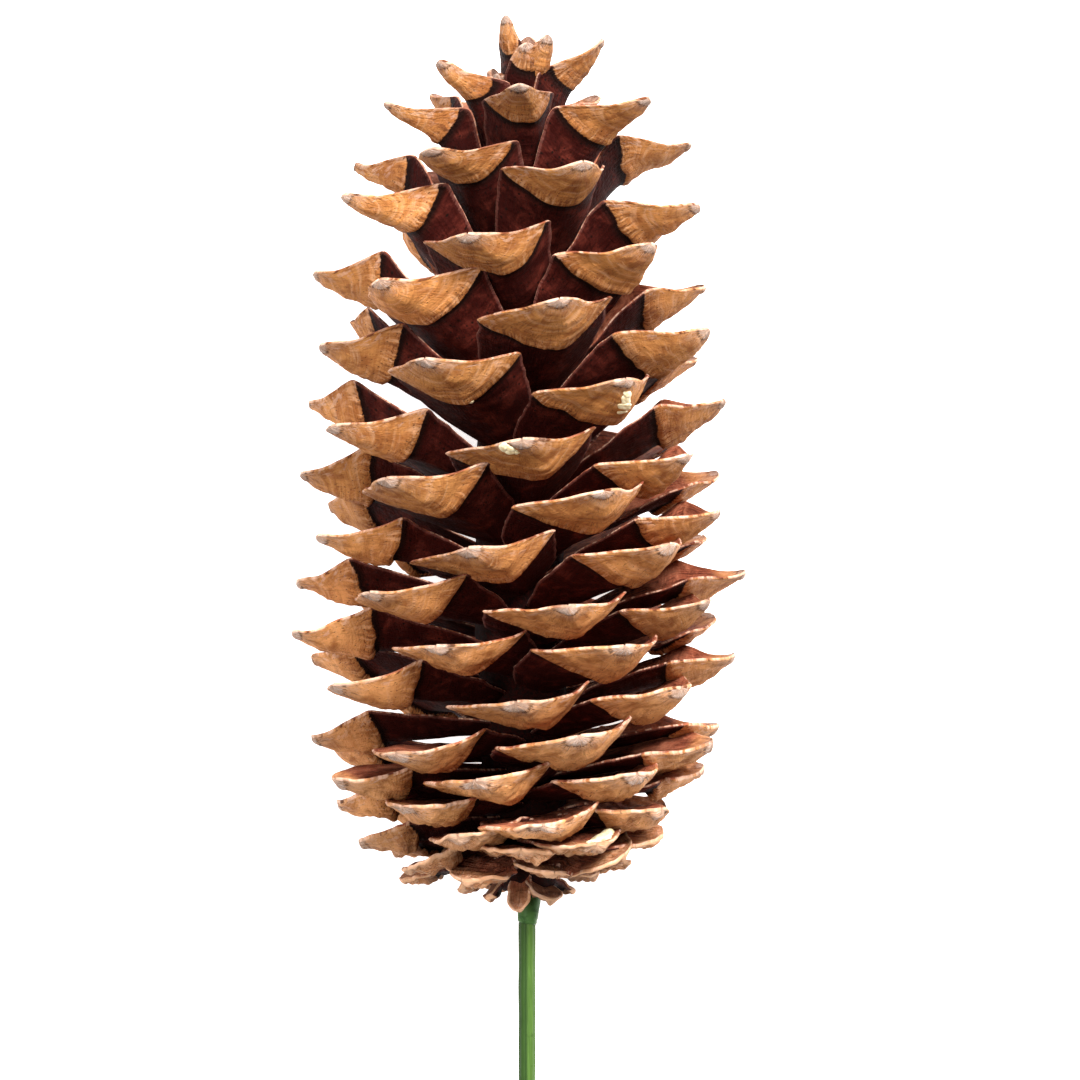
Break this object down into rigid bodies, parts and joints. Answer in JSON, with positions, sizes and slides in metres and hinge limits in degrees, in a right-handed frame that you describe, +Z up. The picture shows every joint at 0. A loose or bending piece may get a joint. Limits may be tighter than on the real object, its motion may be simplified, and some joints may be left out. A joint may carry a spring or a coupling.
{
  "type": "pine cone",
  "caption": "Large open pine cone with broad tan-tipped woody scales on a cut green plastic-covered wire stem, lying on its side.",
  "frame": {"origin": "on the surface that the cone lies on, under the middle of its box", "axes": "+Y runs from the stem towards the cone's tip, +Z is up from the surface, +X is to the right of the side seen from above"},
  "size_m": [0.1428, 0.3976, 0.1405],
  "materials": {
    "cone_scales": "dry satin scales, tan at their tips and red-brown towards the core",
    "collar": "satin moulded plastic, green",
    "sheath": "satin ribbed plastic, green",
    "wire": "drawn steel, seen only at the cut end"
  },
  "bodies": {
    "root": {"cone": "cone_scales", "stem_collar": "collar", "stem_sheath": "sheath", "stem_wire": "wire"}
  },
  "joints": []
}
